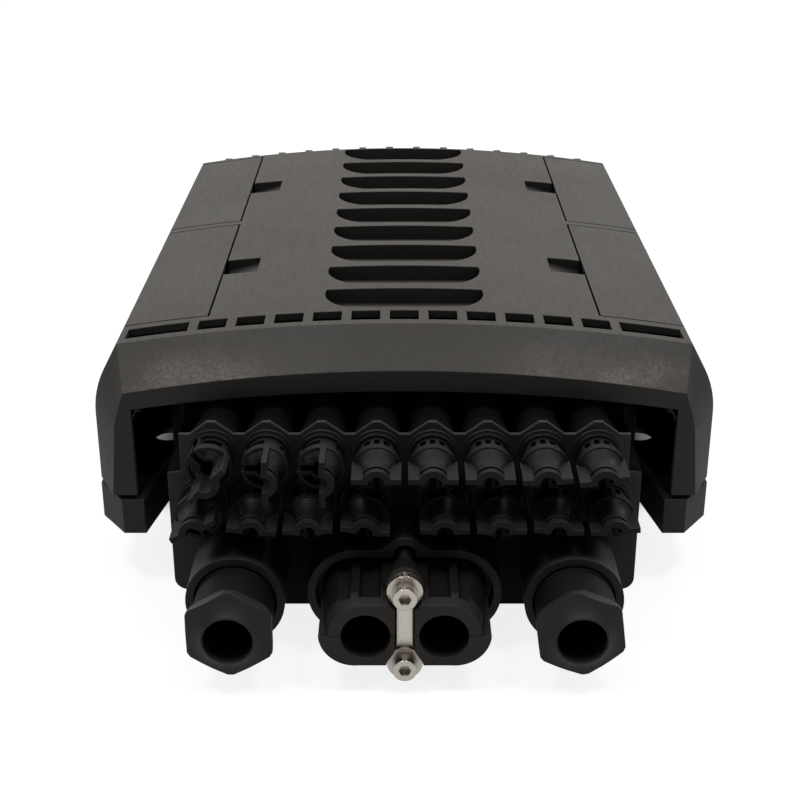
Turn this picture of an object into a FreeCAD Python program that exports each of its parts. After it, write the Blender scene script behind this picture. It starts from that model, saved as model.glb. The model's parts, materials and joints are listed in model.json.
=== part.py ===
import FreeCAD, Part

import math
import os

import Sketcher

# Fibre termination box, lying on its back: X across, Y from the ports to the hinge, Z off the wall.
# The origin is the middle of the four wall fixings, on the back plane. Lengths are in millimetres.

DRIVING = {
    # cover
    "crown_top": 106.0, "crown_drop": 8.6, "side_half": 122.0, "shoulder_run": 4.7, "bevel_run": 5.6,
    "slope_drop": 19.0, "shoulder_drop": 18.8, "shoulder_radius": 39.7, "skirt_gap": 2.0, "wall": 2.6,
    "far_y": 143.0, "visor_front_y": -147.0, "visor_run": 16.2, "visor_drop": 13.1, "lip_drop": 9.5,
    "lip_height": 8.5, "lip_depth": 3.2, "visor_taper": 4.1, "leg_taper": 7.7, "leg_width": 9.5,
    "knee_run": 2.4,
    # louvres, slots and fins
    "louvre_place": 26.0, "louvre_pitch": 29.0, "louvre_half": 31.7, "louvre_near_half": 19.0,
    "louvre_run": 23.5, "louvre_depth": 7.0, "louvre_end_radius": 20.0, "slot_pitch": 15.05,
    "slot_width": 11.3, "slot_inset": 4.4, "slot_length": 10.0, "fin_reach": 5.0, "fin_height": 16.0,
    # latches
    "latch_overlap": 19.5, "latch_front_gap": 1.0, "latch_back_gap": 3.5, "latch_shift": 0.95,
    "latch_strip": 5.0, "latch_gap": 0.9, "latch_thick": 3.0, "latch_ledge": 13.0, "pivot_inset": 4.7,
    "pivot_drop": 6.7, "barrel_radius": 4.2, "latch_pin_radius": 1.5, "claw_width": 20.0, "claw_drop": 7.0,
    "claw_bite": 1.6, "notch_front": 60.0, "notch_back": 60.3, "notch_length": 19.0, "notch_reach": 14.5,
    "notch_depth": 5.5, "notch_shallow": 2.5, "saddle_gap": 22.0,
    # base
    "channel_width": 25.0, "tub_front_gap": 34.0, "tub_back_gap": 9.0, "tub_radius": 12.0, "tub_wall": 3.0,
    "seal_drop": 26.0, "gasket_thick": 2.5, "rim_z": 38.0, "channel_depth": 15.0, "rim_wall": 2.5,
    "rim_overhang": 4.0, "cheek_run": 10.8, "foot_lap": 2.3, "cheek_depth": 15.0, "rim_lip": 2.4,
    "rim_lip_thick": 2.4, "lug_reach": 9.0, "lug_half_y": 60.0, "lug_hole": 6.5, "lug_width": 18.0,
    "lug_thick": 6.0, "driver_hole": 13.0,
    # hinge
    "hinge_back": 5.5, "hinge_rise": 6.0, "knuckle_radius": 4.0, "hinge_pin_radius": 2.0, "knuckle_x": 70.0,
    "knuckle_width": 11.0,
    # port block
    "block_margin": 3.45, "block_rise": 10.6, "block_radius": 5.0, "block_low": 4.2, "block_shoulder": 10.8,
    "block_step": 16.3, "port_reach": 22.5, "port_plate": 9.0, "comb_rise": 5.0, "comb_cover": 7.7,
    "comb_wall": 3.0, "comb_thick": 1.6, "comb_flat": 4.0,
    # drop glands
    "drop_pitch": 20.35, "row_gap": 28.8, "row_drop": 10.7, "row_step": 18.4, "row1_reach": 0.5,
    "row2_reach": 3.5, "socket_radius": 9.6, "drop_tube": 8.2, "spigot_radius": 7.6, "spigot_length": 9.0,
    "gland_radius": 8.6, "gland_wall": 1.4, "gland_collar": 12.3, "gland_length": 25.5, "nose_radius": 5.5,
    "drop_bore": 3.0, "wing_half": 8.9, "wing_thick": 2.0, "wing_rise": 1.2, "slit": 2.4,
    # round glands
    "entry_x": 61.9, "entry_z": 23.3, "tube_wall": 3.0, "tube_reach": 29.5, "collar_play": 0.7,
    "nut_collar": 14.5, "hex_step": 1.3, "nut_hex": 8.0, "nut_length": 26.0, "nut_dome": 4.6,
    "cable_bore": 8.8, "nut_reach": 12.0,
    # oval port
    "oval_half": 35.8, "oval_half_height": 18.1, "oval_wall": 3.0, "oval_reach": 23.5, "insert_gap": 2.3,
    "insert_taper": 3.3, "insert_gap_low": 3.2, "insert_gap_high": 2.5, "insert_reach": 29.0,
    "insert_seat": 5.0, "insert_corner": 14.0, "rib_offset": 3.8, "oval_bore_x": 13.8, "split_gap": 0.3,
    "clamp_rise": 1.3, "screw_offset": 14.6, "screw_radius": 2.5, "head_radius": 4.25, "head_height": 5.0,
    "head_key": 4.0, "link_recess": 7.8, "link_thick": 3.0, "link_eye": 6.2, "link_waist": 5.8,
    "link_play": 0.6, "washer_radius": 6.4, "washer_thick": 1.2, "clamp_lug_inset": 7.0, "clamp_lug": 6.2,
    "clamp_boss": 6.9, "boss_root": 4.4, "boss_gap": 8.7, "arch_radius": 7.3, "arch_half": 8.7,
    # inside
    "panel_gap": 33.0, "panel_thick": 2.5, "panel_height": 56.0, "adapter_width": 9.4,
    "adapter_height": 13.0, "adapter_length": 26.0, "adapter_flange": 2.0, "tray_side_gap": 16.0,
    "tray_near_gap": 35.0, "tray_far_gap": 16.0, "tray_z": 38.0, "tray_depth": 14.0, "tray_wall": 2.0,
    "post_radius": 5.0, "post_inset": 9.0, "reel_radius": 30.0,
    # fits
    "clearance": 0.3, "thread_play": 0.1,
}

GLANDS_IN_ROW = 8
LOUVRES = 9
SIDE_SLOTS = 5
FINS = 7
# how far each gland is turned in its socket, clockwise seen from the ports, left to right
ROW_TURNS = ((135, 90, 90, 0, 0, 0, -3, -8), (-25, 6, -2, 8, 0, 0, 4, -4))
NUT_TURNS = {"left": 0, "right": -8}
# bare numbers that are shapes, not sizes
HALF_ROOT_3 = 0.8660254
HALF_ROOT_2 = 0.7071068
AXIS_ALONG_Y = FreeCAD.Rotation(FreeCAD.Vector(1, 0, 0), -90)
AXIS_ALONG_X = FreeCAD.Rotation(FreeCAD.Vector(0, 1, 0), 90)

doc = FreeCAD.newDocument("fibre_box")
sheet = doc.addObject("Spreadsheet::Sheet", "Sizes")


class Size:
    """A length that knows its value now and the expression that keeps it up to date."""

    def __init__(self, value, text):
        self.value = value
        self.text = text

    def __add__(self, other):
        other = size(other)
        return Size(self.value + other.value, f"({self.text} + {other.text})")

    def __sub__(self, other):
        other = size(other)
        return Size(self.value - other.value, f"({self.text} - {other.text})")

    def __mul__(self, other):
        other = size(other)
        return Size(self.value * other.value, f"({self.text} * {other.text})")

    def __truediv__(self, other):
        other = size(other)
        return Size(self.value / other.value, f"({self.text} / {other.text})")

    def __neg__(self):
        return Size(-self.value, f"(0 - {self.text})")

    __radd__ = __add__

    def __rsub__(self, other):
        return size(other) - self

    __rmul__ = __mul__


def size(number):
    return number if isinstance(number, Size) else Size(float(number), repr(float(number)))


def root(length):
    return Size(math.sqrt(length.value), f"sqrt({length.text})")


class Sizes:
    """The driving dimensions by name, each one a cell of the sheet."""

    def __init__(self, values):
        for row, (alias, value) in enumerate(values.items(), start=1):
            sheet.set(f"A{row}", alias)
            sheet.set(f"B{row}", str(value))
            sheet.setAlias(f"B{row}", alias)
            setattr(self, alias, Size(value, f"Sizes.{alias}"))


s = Sizes(DRIVING)
doc.recompute()


def follow_widths():
    """Half widths that follow from the box's own, from the row of ports and from the glands."""
    s.slope_half = s.side_half - s.shoulder_run
    s.plate_half = s.slope_half - s.bevel_run
    s.visor_half = s.plate_half - s.visor_taper
    s.leg_half = s.side_half - s.leg_taper
    s.leg_inner = s.leg_half - s.leg_width
    s.foot_front_half = s.side_half - s.cheek_run
    s.pivot_x = s.side_half - s.pivot_inset
    s.tub_half = s.side_half - s.channel_width
    s.lug_half_x = s.tub_half + s.lug_reach
    s.latch_inner = s.tub_half - s.latch_overlap
    s.notch_inner = s.latch_inner - s.notch_reach
    s.tray_half = s.tub_half - s.tub_wall - s.tray_side_gap
    s.row_spread = (s.row_gap - s.drop_pitch) / 2
    outer_port = s.drop_pitch * ((GLANDS_IN_ROW - 1) / 2) + s.row_spread
    s.block_half = outer_port + s.socket_radius + s.block_margin
    s.block_step_half = s.entry_x + s.block_step
    s.tube_bore = s.nut_collar + s.collar_play
    s.tube_radius = s.tube_bore + s.tube_wall
    s.nut_across = s.nut_collar * 2 + s.hex_step
    s.insert_half = s.oval_half - s.oval_wall - s.insert_gap
    s.insert_front_half = s.insert_half - s.insert_taper
    s.insert_rib_x = s.oval_bore_x + s.rib_offset


def follow_heights():
    """Heights that follow from the crown above, the rim below and the cable entries."""
    s.slope_z = s.crown_top - s.slope_drop
    s.shoulder_z = s.slope_z - s.shoulder_drop
    s.pivot_z = s.shoulder_z - s.pivot_drop
    s.lip_top = s.crown_top - s.visor_drop
    s.seal_z = s.crown_top - s.seal_drop
    s.latch_recess_z = s.seal_z + s.latch_ledge
    s.row1_z = s.seal_z - s.row_drop
    s.row2_z = s.row1_z - s.row_step
    s.comb_valley = s.row1_z + s.comb_cover
    s.comb_peak = s.comb_valley + s.comb_rise
    s.block_top = s.row2_z + s.block_rise
    s.skirt_z = s.rim_z + s.skirt_gap
    s.channel_z = s.rim_z - s.channel_depth
    s.claw_z = s.rim_z - s.claw_drop
    s.hinge_z = s.rim_z + s.hinge_rise
    s.clamp_z = s.entry_z + s.clamp_rise
    s.insert_low = s.oval_half_height - s.oval_wall - s.insert_gap_low
    s.insert_high = s.oval_half_height - s.oval_wall - s.insert_gap_high


def follow_lengths():
    """Places along Y that follow from the visor's front and the far wall."""
    s.visor_top_y = s.visor_front_y + s.visor_run
    s.slot_near_y = s.visor_top_y + s.slot_inset
    s.slot_far_y = s.slot_near_y + s.slot_length
    s.louvre_nose_y = s.slot_far_y + s.louvre_place
    s.tub_front_y = s.visor_front_y + s.tub_front_gap
    s.tub_back_y = s.far_y - s.tub_back_gap
    s.latch_near_y = s.tub_front_y + s.latch_front_gap
    s.latch_far_y = s.far_y - s.latch_back_gap
    s.latch_mid_y = (s.latch_near_y + s.latch_far_y) / 2 + s.latch_shift
    s.notch_near_y = s.latch_near_y + s.notch_front
    s.notch_far_y = s.latch_mid_y + s.notch_back
    s.foot_chamfer_y = s.visor_front_y + s.cheek_depth
    s.rim_back_y = s.far_y + s.rim_overhang
    s.hinge_y = s.far_y + s.hinge_back
    s.port_plate_y = s.visor_front_y - s.port_reach
    s.row1_y = s.port_plate_y - s.row1_reach
    s.row2_y = s.port_plate_y - s.row2_reach
    s.tube_front_y = s.port_plate_y - s.tube_reach
    s.nut_front_y = s.tube_front_y - s.nut_length
    s.oval_front_y = s.port_plate_y - s.oval_reach
    s.insert_back_y = s.oval_front_y + s.insert_seat
    s.insert_front_y = s.oval_front_y - s.insert_reach
    s.clamp_lug_y = s.oval_front_y + s.clamp_lug_inset
    s.boss_back_y = s.oval_front_y - s.boss_gap
    s.link_seat_y = s.insert_front_y + s.link_recess
    s.panel_y = s.tub_front_y + s.panel_gap
    s.tray_near_y = s.panel_y + s.tray_near_gap
    s.tray_far_y = s.tub_back_y - s.tray_far_gap


follow_widths()
follow_heights()
follow_lengths()


def bind(thing, **sizes):
    """Ties properties of an object to sizes; a double underscore stands for a dot."""
    for name, value in sizes.items():
        thing.setExpression(name.replace("__", "."), size(value).text)
    return thing


# Sketches and features of a body


def new_body(label):
    body = doc.addObject("PartDesign::Body", label)
    body.Label = label
    return body


def sketch_on(body, name, role, offset=0.0):
    """An empty sketch on one of the body's own planes, moved along the plane's normal."""
    sketch = body.newObject("Sketcher::SketchObject", name)
    plane = next(f for f in body.Origin.OriginFeatures if f.Role == role)
    sketch.AttachmentSupport = [(plane, "")]
    sketch.MapMode = "FlatFace"
    offset = size(offset)
    sketch.AttachmentOffset = FreeCAD.Placement(FreeCAD.Vector(0, 0, offset.value), FreeCAD.Rotation())
    bind(sketch, AttachmentOffset__Base__z=offset)
    return sketch


def hold(sketch, wanted):
    """Adds constraints in one go, each tied to its size: wanted is (kind, references, size or None)."""
    constraints = [Sketcher.Constraint(kind, *references, *([value.value] if value else []))
                   for kind, references, value in wanted]
    indices = sketch.addConstraint(constraints)
    for index, (_, _, value) in zip(indices, wanted):
        if value:
            sketch.setExpression(f"Constraints[{index}]", value.text)


def placed(edge, position, u, v):
    """Holds one end of a line or arc, or a centre, at a place in the sketch."""
    return [("DistanceX", (edge, position), u), ("DistanceY", (edge, position), v)]


def arc_between(start, end, radius):
    """The short arc from start to end, turning left for a positive radius."""
    chord = end - start
    half = chord.Length / 2
    across = FreeCAD.Vector(-chord.y, chord.x, 0).normalize()
    reach = math.sqrt(max(radius * radius - half * half, 0.0))
    centre = start + chord * 0.5 + across * (reach if radius > 0 else -reach)
    first, last = (start, end) if radius > 0 else (end, start)
    angles = [math.atan2(p.y - centre.y, p.x - centre.x) for p in (first, last)]
    circle = Part.Circle(centre, FreeCAD.Vector(0, 0, 1), abs(radius))
    return Part.ArcOfCircle(circle, angles[0], angles[1])


def loop(sketch, corners):
    """A closed outline. A corner is (u, v), or (u, v, radius) where an arc leads to it."""
    corners = [tuple(size(c) for c in corner) for corner in corners]
    points = [FreeCAD.Vector(c[0].value, c[1].value, 0) for c in corners]
    edges, orders = [], []
    for i, corner in enumerate(corners):
        start, end = points[i - 1], points[i]
        if len(corner) == 3:
            edges.append(arc_between(start, end, corner[2].value))
            orders.append((1, 2) if corner[2].value > 0 else (2, 1))
        else:
            edges.append(Part.LineSegment(start, end))
            orders.append((1, 2))
    added = sketch.addGeometry(edges)
    wanted = []
    for i, corner in enumerate(corners):
        after = (i + 1) % len(corners)
        wanted.append(("Coincident", (added[i], orders[i][1], added[after], orders[after][0]), None))
        wanted += placed(added[i], orders[i][1], corner[0], corner[1])
        if len(corner) == 3:
            radius = corner[2] if corner[2].value > 0 else -corner[2]
            wanted.append(("Radius", (added[i],), radius))
    hold(sketch, wanted)
    return sketch


def circle(sketch, u, v, radius):
    u, v, radius = size(u), size(v), size(radius)
    centre = FreeCAD.Vector(u.value, v.value, 0)
    edge = sketch.addGeometry(Part.Circle(centre, FreeCAD.Vector(0, 0, 1), radius.value))
    hold(sketch, placed(edge, 3, u, v) + [("Radius", (edge,), radius)])
    return sketch


def rectangle(u0, u1, v0, v1):
    return [(u0, v0), (u1, v0), (u1, v1), (u0, v1)]


def rounded(u0, u1, v0, v1, radius):
    """Corners of a rectangle with round corners, anticlockwise."""
    return [(u1 - radius, v0), (u1, v0 + radius, radius), (u1, v1 - radius),
            (u1 - radius, v1, radius), (u0 + radius, v1), (u0, v1 - radius, radius), (u0, v0 + radius),
            (u0 + radius, v0, radius)]


def stadium(u, v, half, half_height):
    """Corners of a long round-ended outline: each end is two quarter arcs."""
    straight = half - half_height
    return [(u + straight, v - half_height), (u + half, v, half_height),
            (u + straight, v + half_height, half_height), (u - straight, v + half_height),
            (u - half, v, half_height), (u - straight, v - half_height, half_height)]


def flipped(outline):
    """The same outline on the other side of the middle plane."""
    return [(-size(corner[0]), corner[1], *(-size(radius) for radius in corner[2:])) for corner in outline]


def both_sides(outline):
    return [outline, flipped(outline)]


def grow(body, name, sketch, length, both_ways=False):
    pad = body.newObject("PartDesign::Pad", name)
    pad.Profile = sketch
    pad.SideType = "Symmetric" if both_ways else "One side"
    bind(pad, Length=length)
    return pad


def sink(body, name, sketch, depth, both_ways=False, backwards=False):
    pocket = body.newObject("PartDesign::Pocket", name)
    pocket.Profile = sketch
    pocket.SideType = "Symmetric" if both_ways else "One side"
    pocket.Reversed = backwards
    bind(pocket, Length=depth)
    return pocket


def along_y(body, name, outlines, back, front, cut=False):
    """Outlines in X and Z, grown or cut from the back plane to the front plane."""
    back, front = size(back), size(front)
    sketch = sketch_on(body, f"{name}_outline", "XZ_Plane", -back)
    for outline in outlines:
        loop(sketch, outline)
    if cut:
        return sink(body, name, sketch, back - front, backwards=True)
    return grow(body, name, sketch, back - front)


def along_z(body, name, outlines, low, high, cut=False):
    """Outlines in X and Y, grown or cut from the low plane to the high plane."""
    low, high = size(low), size(high)
    sketch = sketch_on(body, f"{name}_outline", "XY_Plane", low)
    for outline in outlines:
        loop(sketch, outline)
    if cut:
        return sink(body, name, sketch, high - low, backwards=True)
    return grow(body, name, sketch, high - low)


def discs_along_y(body, name, discs, back, front, cut=False):
    """Round posts or holes along Y: discs are (x, z, radius)."""
    back, front = size(back), size(front)
    sketch = sketch_on(body, f"{name}_outline", "XZ_Plane", -back)
    for x, z, radius in discs:
        circle(sketch, x, z, radius)
    if cut:
        return sink(body, name, sketch, back - front, backwards=True)
    return grow(body, name, sketch, back - front)


def across_x(body, name, outline, low, high, cut=False):
    """An outline in Y and Z, grown or cut from one X to another."""
    low, high = size(low), size(high)
    sketch = loop(sketch_on(body, f"{name}_outline", "YZ_Plane", low), outline)
    if cut:
        return sink(body, name, sketch, high - low, backwards=True)
    return grow(body, name, sketch, high - low)


def repeat(body, name, features, role, spacing, count, backwards=False):
    """A row of copies along one of the body's own axes."""
    pattern = body.newObject("PartDesign::LinearPattern", name)
    pattern.Originals = features
    axis = next(f for f in body.Origin.OriginFeatures if f.Role == role)
    pattern.Direction = (axis, [""])
    pattern.Reversed = backwards
    pattern.Mode = "Spacing"
    pattern.Occurrences = count
    bind(pattern, Offset=spacing)
    body.Tip = pattern
    return pattern


def loft(body, name, first, last, cut=False):
    kind = "PartDesign::SubtractiveLoft" if cut else "PartDesign::AdditiveLoft"
    feature = body.newObject(kind, name)
    feature.Profile = first
    feature.Sections = [last]
    feature.Ruled = True
    return feature


def turned(body, name, outline, angle=360.0, cut=False):
    """A profile in Y and Z turned about the body's Y axis, about its own plane for part turns."""
    sketch = loop(sketch_on(body, f"{name}_outline", "YZ_Plane"), outline)
    feature = body.newObject("PartDesign::Groove" if cut else "PartDesign::Revolution", name)
    feature.Profile = sketch
    axis = next(f for f in body.Origin.OriginFeatures if f.Role == "Y_Axis")
    feature.ReferenceAxis = (axis, [""])
    feature.Angle = angle
    feature.Midplane = angle < 360
    return feature


# Plain pieces, cuts and groups


def block(name, x, y, z):
    """A box from three (low, high) pairs."""
    (x0, x1), (y0, y1), (z0, z1) = ((size(a), size(b)) for a, b in (x, y, z))
    solid = doc.addObject("Part::Box", name)
    bind(solid, Length=x1 - x0, Width=y1 - y0, Height=z1 - z0)
    bind(solid, Placement__Base__x=x0, Placement__Base__y=y0, Placement__Base__z=z0)
    return solid


def rod(name, start, length, radius, rotation=AXIS_ALONG_Y):
    """A cylinder from its start along the rotated axis."""
    x, y, z = (size(c) for c in start)
    solid = doc.addObject("Part::Cylinder", name)
    solid.Placement = FreeCAD.Placement(FreeCAD.Vector(x.value, y.value, z.value), rotation)
    bind(solid, Height=length, Radius=radius)
    bind(solid, Placement__Base__x=x, Placement__Base__y=y, Placement__Base__z=z)
    return solid


def rod_y(name, x, z, front, back, radius):
    """A cylinder along Y from the front plane to the back plane."""
    return rod(name, (x, front, z), size(back) - size(front), radius)


def cut(name, base, *tools):
    for i, tool in enumerate(tools):
        result = doc.addObject("Part::Cut", name if i == len(tools) - 1 else f"{name}_step")
        result.Base = base
        result.Tool = tool
        base = result
    return base


def fuse(name, *solids):
    result = doc.addObject("Part::MultiFuse", name)
    result.Shapes = list(solids)
    return result


def common(name, *solids):
    result = doc.addObject("Part::MultiCommon", name)
    result.Shapes = list(solids)
    return result


def group(name, solids):
    """Separate solids that share one node."""
    result = doc.addObject("Part::Compound", name)
    result.Links = list(solids)
    return result


PIECES = []


def piece(thing, label):
    thing.Label = label
    PIECES.append(thing)
    return thing


def crown_at(x, below=0.0):
    """Height of the crowned top at a distance from the middle, less a depth below it."""
    radius = crown_radius()
    x = size(x)
    return s.crown_top - radius + root(radius * radius - x * x) - below


def crown_radius():
    return (s.plate_half * s.plate_half + s.crown_drop * s.crown_drop) / (s.crown_drop * 2)


def lip_radius():
    return (s.visor_half * s.visor_half + s.lip_drop * s.lip_drop) / (s.lip_drop * 2)


# Cover


def cover_section(inset, foot):
    """The cover's cross-section in X and Z, moved in by a wall."""
    half, slope, side = s.plate_half - inset, s.slope_half - inset, s.side_half - inset
    edge = s.crown_top - s.crown_drop - inset
    slope_z = s.slope_z - inset / 2
    round_in = s.shoulder_radius - inset
    return [(side, foot), (side, s.shoulder_z), (slope, slope_z, round_in), (half, edge),
            (-half, edge, crown_radius()), (-slope, slope_z), (-side, s.shoulder_z, round_in),
            (-side, foot)]


def visor_section(inset, foot, top):
    """The cross-section at the visor's front, with the same edges as the cover's."""
    half, leg = s.visor_half - inset, s.leg_half - inset
    knee = leg - s.knee_run
    edge = top - s.lip_drop
    bend = s.shoulder_radius * 1.5
    return [(leg, foot), (knee, s.shoulder_z), (half + 1.4, edge - 4.5, bend), (half, edge),
            (-half, edge, lip_radius()), (-half - 1.4, edge - 4.5), (-knee, s.shoulder_z, bend),
            (-leg, foot)]


def cover():
    core = new_body("cover_core")
    along_y(core, "shell", [cover_section(size(0), s.skirt_z)], s.far_y, s.visor_top_y)
    rear = loop(sketch_on(core, "visor_rear", "XZ_Plane", -s.visor_top_y),
                cover_section(size(0), s.skirt_z))
    front = loop(sketch_on(core, "visor_front", "XZ_Plane", -s.visor_front_y),
                 visor_section(size(0), s.skirt_z, s.lip_top))
    loft(core, "visor", rear, front)
    cover_hollows(core)
    solid = fuse("cover_solid", core, louvre_pans(), notch_pans(), far_fins(), latch_ears(), cover_knuckles())
    voids = fuse("cover_voids", louvre_scoops(), vent_slots(), latch_openings(), latch_pin_holes(),
                 hinge_bore("cover"))
    return piece(cut("cover_moulding", solid, voids), "cover")


def cover_hollows(body):
    """The hood's hollow, the bays outside the seal and the sealed cavity inside it."""
    foot = s.skirt_z - 5
    slope = (s.crown_top - s.lip_top) / (s.visor_top_y - s.visor_front_y)
    back_of_lip = s.visor_front_y + s.lip_depth
    rear = loop(sketch_on(body, "hood_rear", "XZ_Plane", -s.visor_top_y), cover_section(s.wall, foot))
    front = loop(sketch_on(body, "hood_front", "XZ_Plane", -back_of_lip),
                 visor_section(s.wall, foot, s.lip_top + slope * s.lip_depth - s.wall * 1.5))
    loft(body, "hood_hollow", rear, front, cut=True)
    opening = s.lip_top - s.lip_height
    opening_drop = s.lip_drop * 0.8
    opening_radius = (s.leg_inner * s.leg_inner + opening_drop * opening_drop) / (opening_drop * 2)
    along_y(body, "port_mouth",
            [[(s.leg_inner, foot), (s.leg_inner, opening - opening_drop),
              (-s.leg_inner, opening - opening_drop, opening_radius), (-s.leg_inner, foot)]],
            back_of_lip + 1, s.visor_front_y - 1, cut=True)
    seal_low = s.seal_z + s.gasket_thick + s.thread_play
    inner_side = s.side_half - s.wall
    along_y(body, "lower_hollow", [rectangle(-inner_side, inner_side, foot, s.shoulder_z)],
            s.far_y - s.wall, s.visor_top_y - 1, cut=True)
    along_y(body, "upper_hollow",
            [[(inner_side, s.shoulder_z - 1), (s.slope_half - s.wall, seal_low),
              (-(s.slope_half - s.wall), seal_low),
              (-inner_side, s.shoulder_z - 1)]], s.far_y - s.wall, s.visor_top_y - 1, cut=True)
    along_y(body, "front_bay", [cover_section(s.wall, s.shoulder_z - 2)], s.tub_front_y, s.visor_top_y - 1,
            cut=True)
    side_bay = [(s.tub_half, seal_low - 1), (s.slope_half - s.wall * 1.3, seal_low - 1),
                (s.slope_half - s.wall * 1.3, s.slope_z - s.wall / 2), (s.plate_half - s.wall,
                                                                        crown_at(s.plate_half, s.wall)),
                (s.tub_half, crown_at(s.tub_half, s.wall + 1))]
    along_y(body, "side_bays", both_sides(side_bay), s.far_y - s.wall, s.tub_front_y - 1, cut=True)
    along_y(body, "back_bay", [cover_section(s.wall, s.shoulder_z - 2)], s.far_y - s.wall, s.tub_back_y,
            cut=True)
    cavity = s.tub_half - s.tub_wall
    ledge = s.latch_inner - s.wall
    ceiling = s.latch_recess_z - s.wall
    along_y(body, "sealed_cavity",
            [[(cavity, seal_low - 1), (cavity, ceiling), (ledge, ceiling), (ledge, crown_at(ledge, s.wall)),
              (-ledge, crown_at(ledge, s.wall), crown_radius()), (-ledge, ceiling), (-cavity, ceiling),
              (-cavity, seal_low - 1)]],
            s.tub_back_y - s.tub_wall, s.tub_front_y + s.tub_wall, cut=True)


def louvre_pans():
    """A pan under the plate for each louvre."""
    body = new_body("pans")
    nose = s.louvre_nose_y
    near = nose - s.louvre_run
    half = s.louvre_half + s.wall
    top = crown_at(half, 0.6)
    low = s.crown_top - s.louvre_depth - s.wall
    pan = across_x(body, "louvre_pan",
                   [(near, top - s.wall), (nose + s.wall, low), (nose + s.wall, top),
                    (near, top)], -half, half)
    repeat(body, "louvre_pan_row", [pan], "Y_Axis", s.louvre_pitch, LOUVRES)
    return body


def louvre_scoops():
    """Scoops that face the ports: deep under the nose, running out at the toe, with round ends in plan."""
    nose, toe = s.louvre_nose_y, s.louvre_nose_y - s.louvre_run
    low, above = s.crown_top - s.louvre_depth, s.crown_top + 2
    half, near_half, radius = s.louvre_half, s.louvre_near_half, s.louvre_end_radius
    wedges = new_body("scoop_wedges")
    profile = [(toe, s.crown_top - 0.2), (nose, low), (nose, above), (toe, above)]
    wedge = across_x(wedges, "louvre_wedge", profile, -half - 1, half + 1)
    repeat(wedges, "louvre_wedge_row", [wedge], "Y_Axis", s.louvre_pitch, LOUVRES)
    plans = new_body("scoop_plans")
    outlines = []
    for i in range(LOUVRES):
        near, far = toe + s.louvre_pitch * i, nose + s.louvre_pitch * i
        outlines.append([(half, far, radius), (-half, far), (-near_half, near, radius), (near_half, near)])
    along_z(plans, "louvre_plan_row", outlines, low - 1, above)
    return common("scoops", wedges, plans)


def vent_slots():
    """The row of slots behind the visor, with a long slot at each corner."""
    body = new_body("slots")
    half = s.slot_width / 2
    outlines = []
    for i in range(-SIDE_SLOTS, SIDE_SLOTS + 1):
        middle = s.slot_pitch * i
        outlines.append(rectangle(middle - half, middle + half, s.slot_near_y, s.slot_far_y))
    corner = s.slot_pitch * (SIDE_SLOTS + 1) - half
    outlines += both_sides(rectangle(corner, s.plate_half - s.wall, s.slot_near_y, s.slot_far_y))
    along_z(body, "slot_row", outlines, s.slope_z, s.crown_top + 1)
    return body


def far_fins():
    """Fins that carry the plate's line past the far wall."""
    body = new_body("fins")
    half = (s.slot_pitch - s.slot_width) / 2
    outlines = []
    for i in range(FINS):
        place = s.slot_pitch * (i + 0.5)
        top = crown_at(place + half, 0.4)
        outlines += both_sides(rectangle(place - half, place + half, top - s.fin_height, top))
    along_y(body, "fin_row", outlines, s.far_y + s.fin_reach, s.far_y - 1)
    return body


def latch_spans():
    """Near and far end of each latch window, front then back."""
    half_strip = s.latch_strip / 2
    return {"front": (s.latch_near_y, s.latch_mid_y - half_strip),
            "back": (s.latch_mid_y + half_strip, s.latch_far_y)}


def latch_openings():
    """Recesses over the seal, openings down the sides and finger notches."""
    body = new_body("latch_cuts")
    window_z = s.pivot_z - s.barrel_radius - s.latch_gap
    recesses, windows = [], []
    for near, far in latch_spans().values():
        recesses += both_sides(rectangle(s.latch_inner, s.tub_half + 1, near, far))
        windows += both_sides(rectangle(s.tub_half, s.side_half + 1, near, far))
    along_z(body, "latch_recesses", recesses, s.latch_recess_z, s.crown_top + 1)
    along_z(body, "latch_windows", windows, window_z, s.crown_top + 1)
    notch = [(s.notch_inner, crown_at(s.notch_inner, s.notch_shallow)),
             (s.latch_inner + 1, crown_at(s.latch_inner, s.notch_depth)),
             (s.latch_inner + 1, s.crown_top + 1), (s.notch_inner, s.crown_top + 1)]
    for end, middle in (("front", s.notch_near_y), ("back", s.notch_far_y)):
        along_y(body, f"notches_{end}", both_sides(notch), middle + s.notch_length / 2,
                middle - s.notch_length / 2)
    return body


def notch_pans():
    """A pan under the plate for each finger notch, joined to the ledge beside it."""
    body = new_body("finger_pans")
    inner, outer = s.notch_inner - s.wall, s.latch_inner - s.wall / 2
    pan = [(inner, crown_at(inner, 0.6)), (inner, crown_at(s.notch_inner, s.notch_shallow + s.wall)),
           (outer, crown_at(s.latch_inner, s.notch_depth + s.wall)), (outer, crown_at(s.latch_inner, 0.6))]
    reach = s.notch_length / 2 + s.wall
    for end, middle in (("front", s.notch_near_y), ("back", s.notch_far_y)):
        along_y(body, f"notch_pans_{end}", both_sides(pan), middle + reach, middle - reach)
    return body


def latch_ears():
    """Lugs inside the skirt that hold the latch pins."""
    body = new_body("ears")
    lug = s.latch_strip - s.latch_gap
    low, high = s.pivot_z - s.barrel_radius, s.pivot_z + s.barrel_radius
    ear = rectangle(s.pivot_x - s.barrel_radius, s.side_half - s.wall / 2, low, high)
    for name, near in (("near", s.latch_near_y - lug), ("middle", s.latch_mid_y - lug / 2),
                       ("far", s.latch_far_y)):
        along_y(body, f"latch_ears_{name}", both_sides(ear), near + lug, near)
    return body


def latch_pin_holes():
    body = new_body("latch_pin_ways")
    reach = s.latch_strip / 2
    holes = [(s.pivot_x * side, s.pivot_z, s.latch_pin_radius + s.thread_play) for side in (-1, 1)]
    discs_along_y(body, "latch_pin_way", holes, s.latch_far_y + reach, s.latch_near_y - reach)
    return body


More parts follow.
